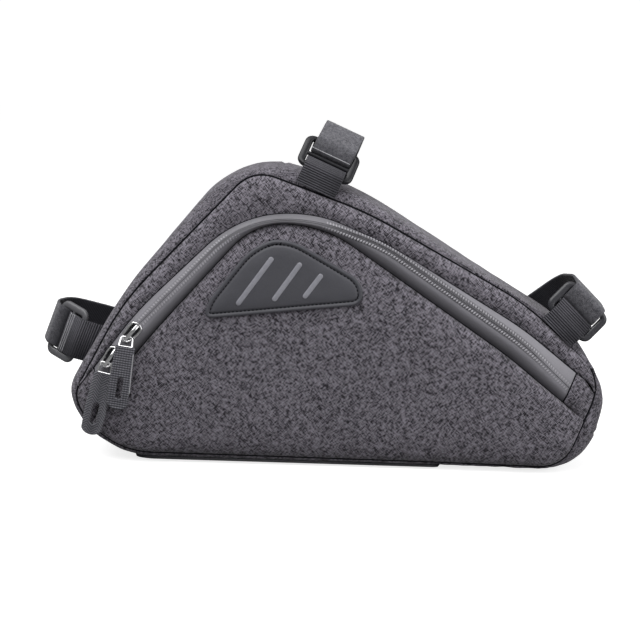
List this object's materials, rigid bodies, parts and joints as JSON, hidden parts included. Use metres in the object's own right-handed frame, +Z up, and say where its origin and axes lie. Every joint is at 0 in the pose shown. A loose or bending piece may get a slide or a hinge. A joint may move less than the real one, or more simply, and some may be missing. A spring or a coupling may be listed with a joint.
{
  "type": "bicycle frame bag",
  "caption": "Soft triangular zipped pouch for a bicycle's frame, with strap loops that fasten round its tubes.",
  "frame": {"origin": "middle of the body's length and depth, on the flat underside of the base patch", "axes": "+X towards the pointed nose on the right as seen from the front, +Z up through the apex, front with the zip facing -Y"},
  "size_m": [0.3066, 0.0683, 0.1858],
  "materials": {
    "gusset_cloth": "matte heather weave",
    "heather_cloth": "matte heather weave",
    "base_coating": "coated cloth",
    "coated_patch": "smooth coated cloth",
    "reflective": "printed reflective film",
    "zip_tape": "coated woven tape",
    "bright_metal": "polished",
    "woven_pull": "ribbed woven tape",
    "webbing": "ribbed webbing",
    "ring_plastic": "moulded",
    "napped_strap": "napped hook and loop tape"
  },
  "bodies": {
    "root": {"back_panel": "heather_cloth", "base_panel": "base_coating", "front_panel_lower": "heather_cloth", "front_panel_upper": "heather_cloth", "gusset": "gusset_cloth", "left_ring": "ring_plastic", "left_strap": "napped_strap", "left_tab": "webbing", "patch": "coated_patch", "pull_link_lower": "bright_metal", "pull_link_upper": "bright_metal", "pull_tab_lower": "woven_pull", "pull_tab_upper": "woven_pull", "reflective_bar_left": "reflective", "reflective_bar_middle": "reflective", "reflective_bar_right": "reflective", "right_ring": "ring_plastic", "right_strap": "napped_strap", "right_tab": "webbing", "slider_lower": "bright_metal", "slider_upper": "bright_metal", "top_ring": "ring_plastic", "top_strap": "napped_strap", "top_tab": "webbing", "zip_end_left": "heather_cloth", "zip_end_right": "heather_cloth", "zipper_tape_lower": "zip_tape", "zipper_tape_upper": "zip_tape"}
  },
  "joints": []
}
